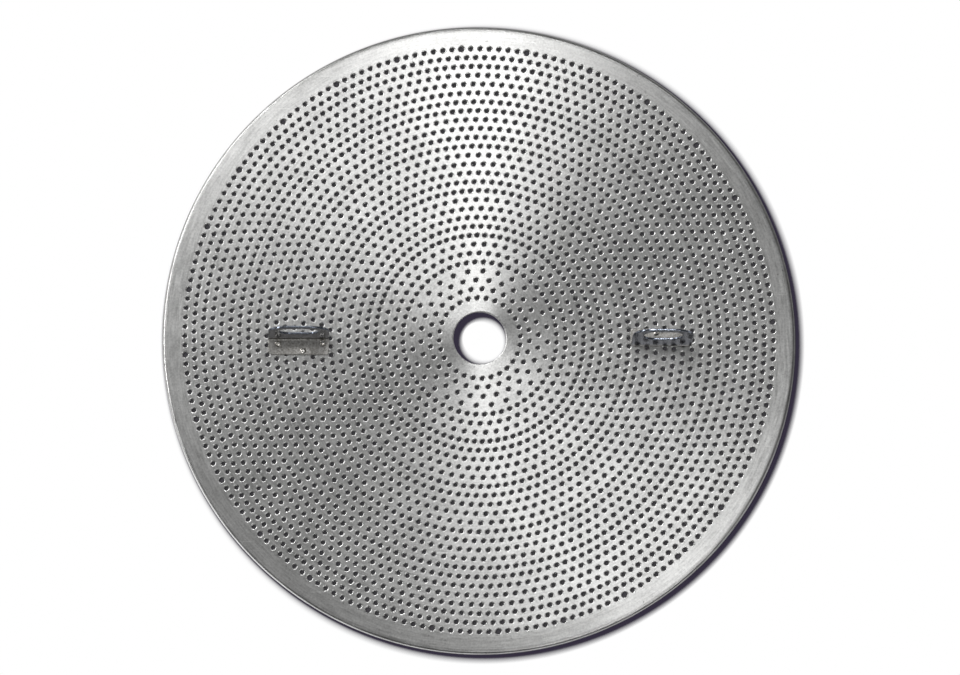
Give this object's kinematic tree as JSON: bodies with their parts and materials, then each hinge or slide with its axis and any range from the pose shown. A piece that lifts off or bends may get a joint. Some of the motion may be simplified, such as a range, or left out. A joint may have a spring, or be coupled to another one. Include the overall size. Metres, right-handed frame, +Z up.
{
  "type": "perforated burner plate",
  "caption": "Round stainless perforated plate with staggered rings of round holes, a plain rim, a centre bore and two upright lifting lugs with finger slots.",
  "frame": {"origin": "centre of the bore on the plate's underside", "axes": "+Z up out of the perforated face along the bore; +X towards the right lug; +Y towards the far side of the plate"},
  "size_m": [0.35, 0.35, 0.0336],
  "materials": {
    "plate_steel": "circular brushed stainless",
    "lug_steel": "smooth bright stainless sheet",
    "weld_metal": "bare weld metal"
  },
  "bodies": {
    "root": {"perforated_plate": "plate_steel", "left_lug": "lug_steel", "right_lug": "lug_steel", "left_weld_outboard": "weld_metal", "left_weld_middle": "weld_metal", "left_weld_inboard": "weld_metal", "right_weld_outboard": "weld_metal", "right_weld_middle": "weld_metal", "right_weld_inboard": "weld_metal"}
  },
  "joints": []
}
